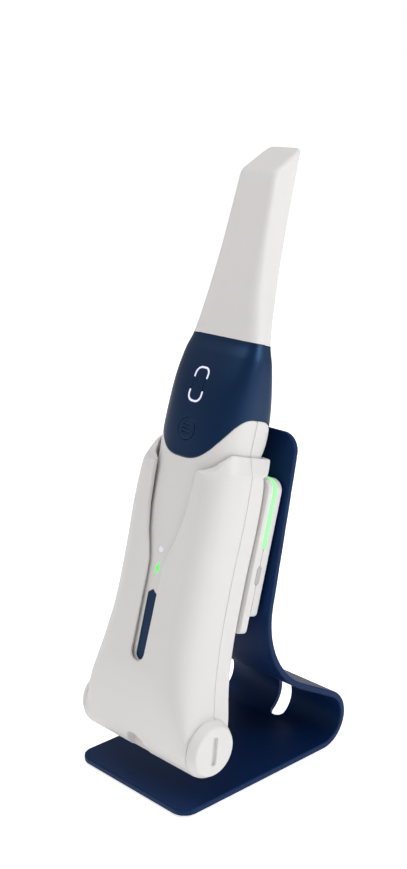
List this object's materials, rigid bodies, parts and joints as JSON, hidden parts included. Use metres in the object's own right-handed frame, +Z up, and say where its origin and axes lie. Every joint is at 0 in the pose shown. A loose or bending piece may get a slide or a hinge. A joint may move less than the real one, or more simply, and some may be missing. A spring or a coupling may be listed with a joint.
{
  "type": "intraoral camera",
  "caption": "Wireless intraoral camera with a removable tip, standing in a lit charging cradle on a bent metal desk stand.",
  "frame": {"origin": "centre of the bounding box at floor level, under the stand's feet", "axes": "+Z up, -Y is the front, the side with the buttons; +X is the side of the charger's small side button"},
  "size_m": [0.08, 0.1076, 0.2875],
  "materials": {
    "stand_coating": "navy satin powder coating",
    "feet_rubber": "black rubber",
    "shell_white": "white satin moulded plastic",
    "tip_white": "white satin autoclavable plastic",
    "collar_navy": "navy satin moulded plastic",
    "light_guide": "white diffusing light guide",
    "green_light": "green diffusing light guide",
    "button_grey": "light grey soft plastic",
    "inner_black": "black moulded plastic",
    "circuit_board": "green solder mask",
    "battery_wrap": "blue shrink wrap",
    "contact_gold": "gold plated",
    "screw_steel": "zinc plated steel",
    "lens_glass": "coated glass",
    "mirror_face": "front surface mirror"
  },
  "bodies": {
    "stand": {"stand_plate": "stand_coating", "foot_front_left": "feet_rubber", "foot_front_right": "feet_rubber", "foot_rear_left": "feet_rubber", "foot_rear_right": "feet_rubber", "stand_screw_upper_left": "screw_steel", "stand_screw_upper_right": "screw_steel", "stand_screw_lower_left": "screw_steel", "stand_screw_lower_right": "screw_steel", "charger_front_shell": "shell_white", "charger_rear_cover": "shell_white", "charger_light_strip": "green_light", "charging_inlet": "screw_steel", "charger_board": "circuit_board", "cradle_front_shell": "shell_white", "cradle_rear_shell": "shell_white", "contact_block": "inner_black", "contact_pin_left": "contact_gold", "contact_pin_right": "contact_gold"},
    "camera": {"snout": "inner_black", "front_lens": "lens_glass", "collar_shell": "collar_navy", "light_ring_upper": "light_guide", "light_ring_lower": "light_guide", "handle_front_shell": "shell_white", "handle_rear_shell": "shell_white", "handle_end_plate": "inner_black", "power_lamp": "light_guide", "charge_lamp": "green_light", "accent_stripe": "collar_navy", "battery_pack": "battery_wrap", "main_board": "circuit_board", "camera_module": "inner_black", "projector_module": "inner_black", "switch_board": "circuit_board"},
    "tip": {"tip_sleeve": "tip_white", "tip_mirror": "mirror_face"},
    "scan_button": {"scan_button": "collar_navy"},
    "mode_button": {"mode_button": "collar_navy"},
    "end_cap_left": {"end_cap_left": "shell_white"},
    "end_cap_right": {"end_cap_right": "shell_white"},
    "charger_button": {"charger_button": "button_grey"}
  },
  "joints": [
    {"name": "camera_lift", "type": "slide", "parent": "stand", "child": "camera", "axis": [0, 0.2672, 0.9636], "range_m": [0, 0.125]},
    {"name": "tip_pull", "type": "slide", "parent": "camera", "child": "tip", "axis": [0, 0.2672, 0.9636], "range_m": [0, 0.045]},
    {"name": "scan_press", "type": "slide", "parent": "camera", "child": "scan_button", "axis": [0, 0.8949, -0.4462], "range_m": [0, 0.0008], "stiffness_N_per_m": 800},
    {"name": "mode_press", "type": "slide", "parent": "camera", "child": "mode_button", "axis": [0, 0.9588, -0.284], "range_m": [0, 0.0008], "stiffness_N_per_m": 800},
    {"name": "end_cap_left_turn", "type": "hinge", "parent": "stand", "child": "end_cap_left", "pos_m": [-0.0354, -0.03723, 0.02918], "axis": [-1, 0, 0], "range_deg": [0, 90]},
    {"name": "end_cap_right_turn", "type": "hinge", "parent": "stand", "child": "end_cap_right", "pos_m": [0.0354, -0.03723, 0.02918], "axis": [1, 0, 0], "range_deg": [0, 90]},
    {"name": "charger_button_press", "type": "slide", "parent": "stand", "child": "charger_button", "axis": [-1, 0, 0], "range_m": [0, 0.0005], "stiffness_N_per_m": 600}
  ]
}
